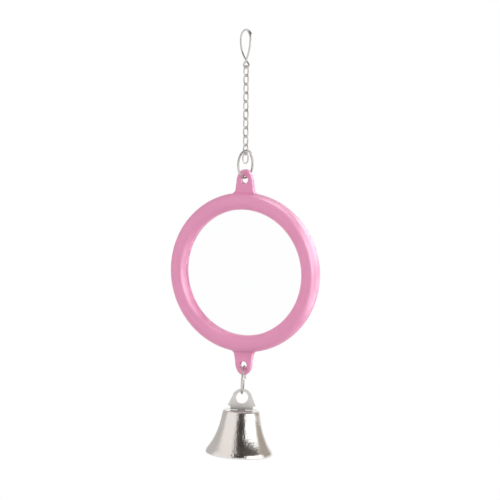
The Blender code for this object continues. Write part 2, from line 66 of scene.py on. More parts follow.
class Sock:  # a node socket that can stand in a Python expression
    def __init__(self, tree, socket=None):
        self.tree = tree
        self.socket = socket

    def make(self, kind, settings=None, values=None, output=0):
        node = self.tree.nodes.new(kind)
        for name, value in (settings or {}).items():
            setattr(node, name, value)
        for name, value in (values or {}).items():
            if isinstance(value, Sock):
                self.tree.links.new(value.socket, node.inputs[name])
            else:
                node.inputs[name].default_value = value
        return Sock(self.tree, node.outputs[output] if node.outputs else None)

    def out(self, index):
        return Sock(self.tree, self.socket.node.outputs[index])

    def math(self, operation, *values):
        return self.make("ShaderNodeMath", {"operation": operation}, dict(enumerate(values)))

    def __add__(self, other):
        return self.math("ADD", self, other)

    def __sub__(self, other):
        return self.math("SUBTRACT", self, other)

    def __rsub__(self, other):
        return self.math("SUBTRACT", other, self)

    def __mul__(self, other):
        return self.math("MULTIPLY", self, other)

    def __truediv__(self, other):
        return self.math("DIVIDE", self, other)

    def __rtruediv__(self, other):
        return self.math("DIVIDE", other, self)

    __radd__ = __add__
    __rmul__ = __mul__


def emptyNodes(owner):
    owner.use_nodes = True
    owner.node_tree.nodes.clear()
    return Sock(owner.node_tree)


# finishes, with noise scales per metre
def newFinish(name, shader):
    finish = bpy.data.materials.new(name)
    start = emptyNodes(finish)
    place = start.make("ShaderNodeTexCoord", output=3)  # Object
    surface = start.make("ShaderNodeBsdfPrincipled", values=shader(place))
    start.make("ShaderNodeOutputMaterial", values={"Surface": surface})
    return finish


def noise(place, scale, detail):
    return place.make("ShaderNodeTexNoise", values={"Vector": place, "Scale": scale, "Detail": detail})


def between(low, high, share):
    return share.make(
        "ShaderNodeMix",
        {"data_type": "RGBA"},
        {0: share, 6: (*low, 1), 7: (*high, 1)},
        output=2,
    )


def bumped(height, strength, distance):
    return height.make(
        "ShaderNodeBump",
        values={"Strength": strength, "Distance": distance, "Height": height},
    )


plastic = {
    "pale": (0.725, 0.278, 0.452),
    "deep": (0.675, 0.240, 0.405),
    "cloud": 55.0,
    "grain": 2600.0,
    "scuff": 380.0,
    "gloss": 0.31,
    "uneven": 0.1,  # roughness added by the scuffs
    "bump": 0.12,
    "depth": 0.03 * mm,
}


def plasticShader(place):
    cloud = noise(place, plastic["cloud"], 3.0)
    grain = noise(place, plastic["grain"], 2.0)
    scuff = noise(place, plastic["scuff"], 4.0)
    return {
        "Base Color": between(plastic["deep"], plastic["pale"], cloud),
        "Roughness": plastic["gloss"] + scuff * plastic["uneven"],
        "Normal": bumped(grain, plastic["bump"], plastic["depth"]),
    }


silver = {
    "tint": (0.995, 0.995, 0.995),
    "shade": (0.98, 0.985, 0.985),
    "smear": 45.0,
    "blur": 0.012,
    "uneven": 0.02,
}


def silverShader(place):
    smear = noise(place, silver["smear"], 4.0)
    return {
        "Base Color": between(silver["shade"], silver["tint"], smear),
        "Metallic": 1.0,
        "Roughness": silver["blur"] + smear * silver["uneven"],
    }


nickel = {
    "bright": (0.80, 0.775, 0.745),
    "dull": (0.53, 0.50, 0.47),
    "edge": (0.70, 0.69, 0.68),
    "patch": 420.0,
    "gloss": 0.22,
    "bump": 0.05,
}
spring = {
    "bright": (0.74, 0.73, 0.72),
    "dull": (0.52, 0.51, 0.50),
    "edge": (0.62, 0.62, 0.62),
    "patch": 260.0,
    "gloss": 0.10,
    "bump": 0.03,
}
jumpRing = {
    "bright": (0.76, 0.74, 0.71),
    "dull": (0.54, 0.52, 0.495),
    "edge": (0.70, 0.69, 0.68),
    "patch": 300.0,
    "gloss": 0.30,
    "bump": 0.04,
}
drawn = {"marks": 1500.0, "uneven": 0.14, "depth": 0.03 * mm}  # the same on every wire


def wireShader(want):
    def shader(place):
        patch = noise(place, want["patch"], 4.0)
        marks = noise(place, drawn["marks"], 3.0)
        return {
            "Base Color": between(want["dull"], want["bright"], patch),
            "Metallic": 1.0,
            "Roughness": want["gloss"] + marks * drawn["uneven"],
            "Normal": bumped(marks, want["bump"], drawn["depth"]),
            "Specular Tint": (*want["edge"], 1),
        }

    return shader


plating = {
    "bright": (0.83, 0.81, 0.79),
    "dull": (0.74, 0.71, 0.68),
    "gloss": 0.10,
    "grain": 1500.0,
    "peel": 900.0,
    "depth": 0.32 * mm,
}
stamped = {
    "bright": (0.90, 0.88, 0.85),
    "dull": (0.79, 0.765, 0.735),
    "gloss": 0.36,
    "grain": 1200.0,
    "peel": 450.0,
    "depth": 0.05 * mm,
}
plated = {"patch": 160.0, "uneven": 0.10, "bump": 0.6}  # the same on bell and hanger


def platingShader(want):
    def shader(place):
        patch = noise(place, plated["patch"], 4.0)
        grain = noise(place, want["grain"], 3.0)
        peel = noise(place, want["peel"], 2.0)
        return {
            "Base Color": between(want["dull"], want["bright"], patch),
            "Metallic": 1.0,
            "Roughness": want["gloss"] + patch * plated["uneven"],
            "Normal": bumped(grain * 0.5 + peel * 0.5, plated["bump"], want["depth"]),
        }

    return shader


steel = {
    "bright": (0.58, 0.58, 0.58),
    "dull": (0.40, 0.395, 0.39),
    "patch": 500.0,
    "gloss": 0.28,
    "uneven": 0.25,
    "bump": 0.15,
    "depth": 0.05 * mm,
}


def steelShader(place):
    patch = noise(place, steel["patch"], 5.0)
    return {
        "Base Color": between(steel["dull"], steel["bright"], patch),
        "Metallic": 1.0,
        "Roughness": steel["gloss"] + patch * steel["uneven"],
        "Normal": bumped(patch, steel["bump"], steel["depth"]),
    }


finishes = {
    "pink_plastic": newFinish("pinkPlastic", plasticShader),
    "mirror_silver": newFinish("mirrorSilver", silverShader),
    "nickel_wire": newFinish("nickelWire", wireShader(nickel)),
    "spring_wire": newFinish("springWire", wireShader(spring)),
    "ring_wire": newFinish("ringWire", wireShader(jumpRing)),
    "bell_plating": newFinish("bellPlating", platingShader(plating)),
    "stamped_plate": newFinish("stampedPlate", platingShader(stamped)),
    "clapper_steel": newFinish("clapperSteel", steelShader),
}
print("finishes:", ", ".join(finishes))


meshing = {
    "endRound": 0.35,  # how far from a wire's end its rounding starts, in diameters
    "endWidth": 0.72,  # of the full width, at the very end
    "seamDepth": 0.2,  # how much narrower a link's wire is at its seam
    "circlePoints": 64,  # of the circle that a link is drawn out from
    "loopPoints": 112,
    "bevelSteps": 4,
    "flat": 0.999,  # a plate's faces past this stay flat shaded
    "crease": math.radians(38),
    "poleGap": 1e-6,
    "weld": 1e-7,
}


# node trees for the shapes that follow a rule
def newTree(name, sizes):
    tree = bpy.data.node_groups.new(name, "GeometryNodeTree")
    tree.interface.new_socket("Geometry", in_out="INPUT", socket_type="NodeSocketGeometry")
    for label, kind in sizes.items():
        tree.interface.new_socket(label, in_out="INPUT", socket_type="NodeSocket" + kind)
    tree.interface.new_socket("Geometry", in_out="OUTPUT", socket_type="NodeSocketGeometry")
    given = tree.nodes.new("NodeGroupInput")
    return {socket.name: Sock(tree, socket) for socket in given.outputs if socket.name}


def closeTree(shape, finish):
    smooth = shape.make("GeometryNodeSetShadeSmooth", values={"Geometry": shape})
    real = shape.make("GeometryNodeRealizeInstances", values={"Geometry": smooth})
    done = shape.make("GeometryNodeSetMaterial", values={"Geometry": real, "Material": finish})
    done.make("NodeGroupOutput", values={"Geometry": done})
    return shape.tree


def roundSection(path, diameter, sides, scale):
    section = path.make(
        "GeometryNodeCurvePrimitiveCircle",
        {"mode": "RADIUS"},
        {"Resolution": sides, "Radius": diameter / 2},
    )
    return path.make(
        "GeometryNodeCurveToMesh",
        values={"Curve": path, "Profile Curve": section, "Scale": scale, "Fill Caps": True},
    )


def makeWireTree():  # a cut wire along a path, its ends a little rounded
    kinds = {"Points": "Int", "Sides": "Int", "Diameter": "Float"}
    given = newTree("wireAlongPath", {**kinds, "EndRound": "Float", "Finish": "Material"})
    path = given["Geometry"].make(
        "GeometryNodeResampleCurve",
        {"mode": "COUNT"},
        {"Curve": given["Geometry"], "Count": given["Points"]},
    )
    along = path.make("GeometryNodeSplineParameter", output=1)
    whole = path.make("GeometryNodeSplineLength")
    fromEnd = along.math("MINIMUM", along, whole - along)
    swell = path.make(
        "ShaderNodeMapRange",
        {"interpolation_type": "SMOOTHSTEP"},
        {0: fromEnd, 1: 0.0, 2: given["EndRound"], 3: meshing["endWidth"], 4: 1.0},
    )
    return closeTree(roundSection(path, given["Diameter"], given["Sides"], swell), given["Finish"])


def makeLinkTree():  # an oval loop with a fine butt seam in one side
    kinds = {"Bend": "Float", "Straight": "Float", "Oval": "Float", "Diameter": "Float", "Sides": "Int"}
    given = newTree("chainLoop", {**kinds, "Seam": "Float", "Finish": "Material"})
    start = given["Geometry"]
    loop = start.make(
        "GeometryNodeCurvePrimitiveCircle",
        {"mode": "RADIUS"},
        {"Resolution": meshing["circlePoints"], "Radius": given["Bend"]},
    )
    spot = start.make("GeometryNodeInputPosition")
    across = start.make("ShaderNodeSeparateXYZ", values={0: spot})
    flat = across.math("SIGN", across.out(1))
    swept = across.out(1) / given["Bend"]
    shift = flat + (swept - flat) * given["Oval"]
    up = across.out(1) + shift * given["Straight"] / 2
    raised = start.make("ShaderNodeCombineXYZ", values={"X": across, "Z": up})
    longLoop = start.make("GeometryNodeSetPosition", values={"Geometry": loop, "Position": raised})
    path = start.make(
        "GeometryNodeResampleCurve",
        {"mode": "COUNT"},
        {"Curve": longLoop, "Count": meshing["loopPoints"]},
    )
    height = across.math("ABSOLUTE", across.out(2))
    groove = start.make(
        "ShaderNodeMapRange",
        {"interpolation_type": "SMOOTHSTEP"},
        {0: height, 1: 0.0, 2: given["Seam"], 3: meshing["seamDepth"], 4: 0.0},
    )
    scale = 1 - groove * across.math("GREATER_THAN", across, 0.0)
    return closeTree(roundSection(path, given["Diameter"], given["Sides"], scale), given["Finish"])


def makeTurnTree():  # points (radius, 0, height) turned about Z
    given = newTree("turnedProfile", {"Steps": "Int", "Rows": "Int", "Finish": "Material"})
    start = given["Geometry"]
    sheet = start.make(
        "GeometryNodeMeshGrid",
        values={"Size X": 1.0, "Size Y": 1.0, "Vertices X": given["Steps"], "Vertices Y": given["Rows"]},
    )
    spot = start.make("GeometryNodeInputPosition")
    cell = start.make("ShaderNodeSeparateXYZ", values={0: spot})
    turn = (cell + 0.5) * (2 * math.pi)
    row = (cell.out(1) + 0.5) * (given["Rows"] - 1) + 0.5
    sampled = start.make(
        "GeometryNodeSampleIndex",
        {"data_type": "FLOAT_VECTOR", "domain": "POINT"},
        {"Geometry": given["Geometry"], "Value": spot, "Index": row},
    )
    point = start.make("ShaderNodeSeparateXYZ", values={0: sampled})
    x = point * turn.math("COSINE", turn)
    y = point * turn.math("SINE", turn)
    place = start.make("ShaderNodeCombineXYZ", values={"X": x, "Y": y, "Z": point.out(2)})
    bent = start.make("GeometryNodeSetPosition", values={"Geometry": sheet, "Position": place})
    merge = {"Geometry": bent, "Distance": meshing["poleGap"]}
    shut = start.make("GeometryNodeMergeByDistance", values=merge)
    return closeTree(shut, given["Finish"])


wireTree = makeWireTree()
linkTree = makeLinkTree()
turnTree = makeTurnTree()


def shapeBy(tree, data, sizes):  # runs a tree once and keeps the plain mesh
    source = bpy.data.objects.new("source", data)
    scene.collection.objects.link(source)
    nodes = source.modifiers.new("shape", "NODES")
    nodes.node_group = tree
    for item in tree.interface.items_tree:
        if item.in_out == "INPUT" and item.name in sizes:
            nodes[item.identifier] = sizes[item.name]
    evaluated = source.evaluated_get(bpy.context.evaluated_depsgraph_get())
    mesh = bpy.data.meshes.new_from_object(evaluated)
    source.modifiers.remove(nodes)
    bpy.data.objects.remove(source)
    return mesh


def addSpline(data, points):
    spline = data.splines.new("POLY")
    spline.points.add(len(points) - 1)
    for target, point in zip(spline.points, points):
        target.co = (*point, 1)
    return spline


def wireMesh(points, diameter, count, slot, sides=20):
    data = bpy.data.curves.new("path", "CURVE")
    data.dimensions = "3D"
    addSpline(data, points)
    sizes = {"Points": count, "Sides": sides, "Diameter": diameter, "Finish": finishes[slot]}
    return shapeBy(wireTree, data, {**sizes, "EndRound": diameter * meshing["endRound"]})


def turnedMesh(profile, steps, slot):
    data = bpy.data.meshes.new("profile")
    data.from_pydata([(radius, 0, height) for radius, height in profile], [], [])
    sizes = {"Steps": steps + 1, "Rows": len(profile), "Finish": finishes[slot]}
    return shapeBy(turnTree, data, sizes)


def plateMesh(outlines, thickness, bevel):  # a flat plate in XY with rounded edges
    data = bpy.data.curves.new("plate", "CURVE")
    data.dimensions = "2D"
    data.fill_mode = "BOTH"
    data.extrude = thickness / 2 - bevel
    data.bevel_depth = bevel
    data.bevel_resolution = meshing["bevelSteps"]
    data.offset = -bevel
    for outline in outlines:
        spline = addSpline(data, [(*point, 0) for point in outline])
        spline.use_cyclic_u = True
    source = bpy.data.objects.new("plate", data)
    scene.collection.objects.link(source)
    mesh = bpy.data.meshes.new_from_object(source.evaluated_get(bpy.context.evaluated_depsgraph_get()))
    bpy.data.objects.remove(source)
    for face in mesh.polygons:
        face.use_smooth = abs(face.normal.z) < meshing["flat"]
    return mesh


def addPiece(name, shapes, body, node, finish):
    whole = bmesh.new()
    for mesh, place in shapes:
        mesh.transform(place)
        whole.from_mesh(mesh)
        bpy.data.meshes.remove(mesh)
    bmesh.ops.remove_doubles(whole, verts=whole.verts, dist=meshing["weld"])
    bmesh.ops.recalc_face_normals(whole, faces=whole.faces)
    for edge in whole.edges:
        if len(edge.link_faces) == 2 and edge.calc_face_angle() > meshing["crease"]:
            edge.smooth = False
    mesh = bpy.data.meshes.new(name)
    whole.to_mesh(mesh)
    whole.free()
    mesh.materials.clear()
    mesh.materials.append(finishes[finish])
    piece = bpy.data.objects.new(name, mesh)
    scene.collection.objects.link(piece)
    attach(piece, body)
    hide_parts(node)
    print(name, len(mesh.polygons), "faces")


def spread(first, last, count):
    return [first + (last - first) * index / (count - 1) for index in range(count)]


def arc(middle, across, up, first, last, count):
    return [
        (middle[0] + across * math.cos(angle), middle[1] + up * math.sin(angle))
        for angle in spread(first, last, count)
    ]


def circle(middle, radius, count):
    return arc(middle, radius, radius, 2 * math.pi, 0, count + 1)[:-1]


def bend(start, startPull, end, endPull, count):
    points = []
    for share in spread(0, 1, count):
        rest = 1 - share
        points.append(
            rest**3 * start
            + 3 * rest**2 * share * (start + startPull)
            + 3 * rest * share**2 * (end - endPull)
            + share**3 * end
        )
    return points


def at(height, turn):
    return Matrix.Translation((0, 0, height)) @ Matrix.Rotation(turn, 4, "Z")


# spring clip and its gate, one bent wire
clip = {
    "wire": 0.8 * mm,
    "span": 7.0 * mm,
    "arch": 4.3 * mm,
    "eye": 1.0 * mm,
    "crossing": 1.6 * mm,
    "nose": math.radians(30),
    "gateStart": math.radians(10),
    "gateTip": math.radians(62),
    "eyeOpen": math.radians(45),
    "eyePull": 4.5 * mm,
    "backPull": 5.5 * mm,
    "gatePull": 2.5 * mm,
    "turn": math.radians(-20),
    "hookGap": 0.2 * mm,
    "cutGap": 0.3 * mm,
}
eyeHeight = pivots["link_01_swing"].z
eyeFirst = math.pi / 2 - clip["eyeOpen"]
eyeLast = -3 * math.pi / 2 + clip["eyeOpen"]


def archPoint(angle, side=0.0):
    height = clip["wire"] / 2 - clip["arch"] + clip["arch"] * math.sin(angle)
    return Vector((clip["span"] / 2 * math.cos(angle), side, height))


def eyePoint(angle):
    side = clip["crossing"] / 2 * (angle + math.pi / 2) / (math.pi - clip["eyeOpen"])
    height = eyeHeight + clip["eye"] * (1 + math.sin(angle))
    return Vector((clip["eye"] * math.cos(angle), side, height))


def eyeHeading(angle):
    return Vector((math.sin(angle), 0, -math.cos(angle))) * clip["eyePull"]


def makeClip():
    place = at(0, clip["turn"])
    arch = [archPoint(angle) for angle in spread(clip["nose"], math.pi, 60)]
    eye = [eyePoint(angle) for angle in spread(eyeFirst, eyeLast + clip["cutGap"] / clip["eye"], 60)]
    down = Vector((0, 0, -clip["backPull"]))
    back = bend(arch[-1], down, eye[0], eyeHeading(eyeFirst), 40)[1:-1]
    shape = wireMesh(arch + back + eye, clip["wire"], 300, "spring_wire")
    addPiece("clipWire", [(shape, place)], "clip", "hanging_clip", "spring_wire")

    beside = -clip["wire"] - clip["hookGap"]
    hook = [archPoint(angle, beside) for angle in spread(clip["gateStart"], clip["gateTip"], 30)]
    up = Vector((0, 0, clip["gatePull"]))
    strand = bend(eyePoint(eyeLast), eyeHeading(eyeLast), hook[0], up, 40)[:-1]
    shape = wireMesh(strand + hook, clip["wire"], 140, "spring_wire")
    addPiece("gateWire", [(shape, place)], "gate", "clip_gate", "spring_wire")


makeClip()

# cable chain
chain = {
    "links": 10,
    "twisting": (5, 6),
    "wire": 0.65 * mm,
    "length": 5.38 * mm,
    "width": 3.2 * mm,
    "oval": 0.7,  # straight sides at 0, an ellipse at 1
    "tailTurn": math.radians(48),
    "hangGap": 0.2 * mm,
    "seam": 0.12 * mm,
    "sides": 18,
}


def addLink(name, body, node, pivot, turn, above):
    span = chain["length"] - chain["wire"]
    reach = (chain["width"] - chain["wire"]) / 2
    sizes = {
        "Bend": reach,
        "Straight": span - 2 * reach,
        "Oval": chain["oval"],
        "Diameter": chain["wire"],
        "Sides": chain["sides"],
        "Seam": chain["seam"],
        "Finish": finishes["nickel_wire"],
    }
    shape = shapeBy(linkTree, bpy.data.meshes.new("loop"), sizes)
    rise = (above + chain["wire"]) / 2 + chain["hangGap"]
    addPiece(name, [(shape, at(pivot.z + rise - span / 2, turn))], body, node, "nickel_wire")


def makeChain():
    for number in range(1, chain["links"] + 1):
        label = f"link_{number:02d}"
        motion = "twist" if number in chain["twisting"] else "swing"
        turn = clip["turn"] + number * math.pi / 2
        above = clip["wire"] if number == 1 else chain["wire"]
        addLink(f"loop{number:02d}", label, f"chain_{label}", pivots[f"{label}_{motion}"], turn, above)
    tail = pivots["tail_link_swing"]
    addLink("loopTail", "tail_link", "chain_tail_link", tail, chain["tailTurn"], chain["wire"])


makeChain()

# open jump rings
ring = {
    "wire": 1.0 * mm,
    "radius": 6.1 * mm,
    "cut": 0.5 * mm,
    "offset": 0.6 * mm,
    "upperCut": math.radians(48),
    "lowerCut": math.radians(-8),
    "upperTurn": math.radians(81),
    "lowerTurn": math.radians(109),
    "upperRise": 1.025 * mm,
    "bellTilt": math.radians(-2.9),
    "points": 180,
    "sides": 24,
}
toViewer = Matrix.Rotation(ring["lowerTurn"], 3, "Z") @ Vector((-1, 0, 0))
tilted = Matrix.Translation(pivots["lower_ring_swing"]) @ Matrix.Rotation(ring["bellTilt"], 4, toViewer)


def ringMesh(middle, cutPlace):
    opening = ring["cut"] / ring["radius"] / 2
    points = []
    for share in spread(0, 1, ring["points"]):
        angle = cutPlace + opening + share * (2 * math.pi - 2 * opening)
        side = ring["offset"] * (share - 0.5)
        x = ring["radius"] * math.cos(angle)
        points.append((x, side, middle + ring["radius"] * math.sin(angle)))
    return wireMesh(points, ring["wire"], len(points), "ring_wire", sides=ring["sides"])


def makeRings():
    upper = at(pivots["upper_ring_swing"].z, ring["upperTurn"])
    shape = ringMesh(ring["upperRise"] - ring["radius"], ring["upperCut"])
    addPiece("upperRing", [(shape, upper)], "upper_ring", "upper_jump_ring", "ring_wire")
    lower = tilted @ Matrix.Rotation(ring["lowerTurn"], 4, "Z")
    shape = ringMesh(-ring["radius"], ring["lowerCut"])
    addPiece("lowerRing", [(shape, lower)], "lower_ring", "lower_jump_ring", "ring_wire")


makeRings()

# moulded frame halves
rim = {
    "radius": 36.0 * mm,
    "width": 7.9 * mm,
    "depth": 9.6 * mm,
    "squareness": 2.25,
    "lipEdge": 2.1 * mm,
    "lipRound": 0.25 * mm,
    "paneFace": 0.65 * mm,
    "paneGap": 0.06 * mm,
    "pocket": 30.186 * mm,
    "seam": 0.05 * mm,
    "seamRound": 0.08 * mm,
    "steps": 192,
}
lug = {
    "thickness": 2.7 * mm,
    "width": 7.9 * mm,
    "hole": 1.7 * mm,
    "rise": 5.8 * mm,
    "edge": 2.9 * mm,
    "taper": 1.5 * mm,
    "draft": math.radians(9),
    "fillet": 2.0 * mm,
    "bevel": 0.42 * mm,
    "root": 33.4 * mm,
}
mirrorHeight = sum(corner.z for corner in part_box("front_mirror")) / 2
holePlace = rim["radius"] + lug["rise"]


def rimPoint(angle):
    power = 2 / rim["squareness"]
    across = math.copysign(abs(math.cos(angle)) ** power, math.cos(angle))
    middle = rim["radius"] - rim["width"] / 2
    return (middle + rim["width"] / 2 * across, rim["depth"] / 2 * math.sin(angle) ** power)


def rimAngle(height):
    return math.asin((2 * height / rim["depth"]) ** (rim["squareness"] / 2))


def roundedCorner(start, corner, end, count):
    points = []
    for share in spread(0, 1, count):
        rest = 1 - share
        x = rest**2 * start[0] + 2 * rest * share * corner[0] + share**2 * end[0]
        y = rest**2 * start[1] + 2 * rest * share * corner[1] + share**2 * end[1]
        points.append((x, y))
    return points


def rimProfile():
    lipAngle = math.pi - rimAngle(rim["lipEdge"])
    lip = rimPoint(lipAngle)
    lipTop = math.pi - rimAngle(rim["lipEdge"] + rim["lipRound"])
    seamTop = rimAngle(rim["seam"] + rim["seamRound"])
    dome = [rimPoint(angle) for angle in spread(lipTop, seamTop, 46)]
    lipEnd = (lip[0], lip[1] - rim["lipRound"])
    lipCorner = roundedCorner(lipEnd, lip, dome[0], 6)[:-1]
    seamEnd = (rim["radius"] - rim["seamRound"], rim["seam"])
    seamCorner = roundedCorner(dome[-1], (rim["radius"], rim["seam"]), seamEnd, 6)[1:]
    floor = rim["paneFace"] + rim["paneGap"]
    inside = [(rim["pocket"], rim["seam"]), (rim["pocket"], floor), (lip[0], floor), lipEnd]
    return lipCorner + dome + seamCorner + inside


def lugOutline(sign):
    half = lug["width"] / 2
    draft = lug["draft"]
    radius = lug["fillet"]
    side = Vector((half, holePlace - lug["taper"]))
    tipUp = lug["hole"] + lug["edge"] + lug["taper"]
    tip = arc((0, side.y), half, tipUp, 0, math.pi / 2, 28)
    down = Vector((math.sin(draft), -math.cos(draft)))
    beside = side + radius * Vector((math.cos(draft), math.sin(draft)))
    along = -beside.dot(down)
    drop = along - math.sqrt(along**2 - beside.length_squared + (rim["radius"] + radius) ** 2)
    middle = beside + drop * down  # of the fillet that touches the lug's side and the rim
    foot = math.pi + math.atan2(middle.y, middle.x)
    fillet = arc(middle, radius, radius, foot, math.pi + draft, 14)
    right = [(fillet[0][0], lug["root"])] + fillet + tip
    left = [(-x, y) for x, y in reversed(right[:-1])]
    outline = [(x, sign * y) for x, y in right + left]
    return outline if sign > 0 else outline[::-1]


def makeFrame():
    facing = Matrix.Rotation(math.pi / 2, 4, "X")
    thick = lug["thickness"] / 2 - rim["seam"]
    for side, turn in (("front", 0.0), ("rear", math.pi)):
        place = at(mirrorHeight, turn) @ facing
        shapes = [(turnedMesh(rimProfile(), rim["steps"], "pink_plastic"), place)]
        for sign in (1, -1):
            hole = circle((0, sign * holePlace), lug["hole"], 48)
            lugShape = plateMesh([lugOutline(sign), hole], thick, lug["bevel"])
            shift = Matrix.Translation((0, 0, rim["seam"] + thick / 2))
            shapes.append((lugShape, place @ shift))
        addPiece(f"{side}Rim", shapes, "mirror", f"{side}_frame", "pink_plastic")
        pane = frame["nodes"][f"{side}_mirror"]
        pane.data.materials.clear()
        pane.data.materials.append(finishes["mirror_silver"])


makeFrame()

# bell, its hanger plate and its clapper
bell = {
    "mouth": 30.2 * mm,
    "crown": 16.5 * mm,
    "height": 20.1 * mm,
    "drop": 19.919 * mm,
    "wall": 0.6 * mm,
    "lip": 1.5 * mm,
    "lipBlend": 0.9 * mm,
    "shoulder": 0.9 * mm,
    "wallStart": 1.44 * mm,
    "flare": 0.42,
    "curve": 2.9,
    "turn": math.radians(30),
    "steps": 160,
}
hanger = {
    "thickness": 0.9 * mm,
    "hole": 2.75 * mm,
    "edge": 1.15 * mm,
    "side": 1.7 * mm,
    "round": math.radians(8),
    "shoulder": 12.4 * mm,
    "neck": 10.2 * mm,
    "step": 1.4 * mm,
    "rise": 5.7 * mm,
    "bevel": 0.08 * mm,
    "base": 0.2 * mm,
    "tongueWidth": 3.4 * mm,
    "tongueEnd": 10.4 * mm,
    "tongueHole": 0.9 * mm,
    "holeDrop": 8.9 * mm,
}
bellPlace = tilted @ at(-bell["drop"], bell["turn"])


def bellRadius(drop):
    share = min(drop / (bell["height"] - bell["lip"]), 1)
    widening = bell["flare"] * share + (1 - bell["flare"]) * share ** bell["curve"]
    return bell["crown"] / 2 + (bell["mouth"] - bell["crown"]) / 2 * widening


def blendedRadius(drop):
    samples = spread(drop - bell["lipBlend"], drop + bell["lipBlend"], 9)
    return sum(bellRadius(sample) for sample in samples) / len(samples)


def bellProfile():
    corner = (bell["crown"] / 2 - bell["shoulder"], -bell["shoulder"])
    shoulder = arc(corner, bell["shoulder"], bell["shoulder"], math.pi / 2, 0, 12)
    drops = spread(bell["wallStart"], bell["height"] - bell["wall"], 60)
    wall = [(blendedRadius(drop), -drop) for drop in drops]
    half = bell["wall"] / 2
    edge = arc((bell["mouth"] / 2 - half, half - bell["height"]), half, half, 0, -math.pi, 12)
    inside = [(radius - bell["wall"], height) for radius, height in reversed(wall)]
    roof = [(bell["crown"] / 2 - bell["shoulder"], -bell["wall"]), (0, -bell["wall"])]
    return [(0, 0)] + shoulder + wall + edge + inside + roof


def hangerOutline():
    across = hanger["hole"] + hanger["side"]
    up = hanger["hole"] + hanger["edge"]
    base = -hanger["rise"] + hanger["base"]
    notch = base + hanger["step"]
    tongueSide = hanger["tongueWidth"] / 2
    tongue = [(tongueSide, -hanger["tongueEnd"]), (tongueSide, base)]
    neck = [(hanger["neck"] / 2, base), (hanger["neck"] / 2, notch)]
    side = hanger["shoulder"] / 2
    ear = [(side, notch + hanger["step"] / 4), (side, notch + hanger["step"] / 2)]
    top = arc((0, 0), across, up, hanger["round"], math.pi / 2, 24)
    right = tongue + neck + ear + top
    left = [(-x, y) for x, y in reversed(right[:-1])]
    return right + left


def makeBell():
    shape = turnedMesh(bellProfile(), bell["steps"], "bell_plating")
    addPiece("bellShell", [(shape, bellPlace)], "bell", "bell_shell", "bell_plating")
    hole = circle((0, 0), hanger["hole"], 64)
    small = circle((0, -hanger["holeDrop"]), hanger["tongueHole"], 32)
    shape = plateMesh([hangerOutline(), hole, small], hanger["thickness"], hanger["bevel"])
    upright = Matrix.Translation((0, 0, hanger["rise"])) @ Matrix.Rotation(math.pi / 2, 4, "X")
    addPiece("hangerPlate", [(shape, bellPlace @ upright)], "bell", "bell_hanger", "stamped_plate")


makeBell()

clapper = {
    "wire": 0.8 * mm,
    "eye": 2.0 * mm,
    "eyeStart": math.radians(-40),
    "eyeEnd": math.radians(205),
    "neck": 5.0 * mm,
    "length": 10.0 * mm,
    "ball": 5.4 * mm,
    "bore": 0.6 * mm,
}


def makeClapper():
    pivot = Matrix.Translation(pivots["clapper_swing"])
    place = pivot @ tilted.to_3x3().to_4x4() @ at(0, bell["turn"] + math.pi / 2)
    curl = clapper["eye"]
    eye = arc((0, -curl), curl, curl, clapper["eyeStart"], clapper["eyeEnd"], 60)
    radius = clapper["ball"] / 2
    line = eye + [(0, -clapper["neck"]), (0, -clapper["length"] - radius)]
    shape = wireMesh([(x, 0, z) for x, z in line], clapper["wire"], 160, "clapper_steel")
    addPiece("strikerWire", [(shape, place)], "clapper", "clapper_wire", "clapper_steel")
    reach = math.acos(clapper["bore"] / radius)
    ball = arc((0, -clapper["length"]), radius, radius, reach, -reach, 32)
    shape = turnedMesh(ball + ball[:1], 64, "clapper_steel")
    addPiece("strikerBall", [(shape, place)], "clapper", "clapper_ball", "clapper_steel")


makeClapper()
print("pieces done")

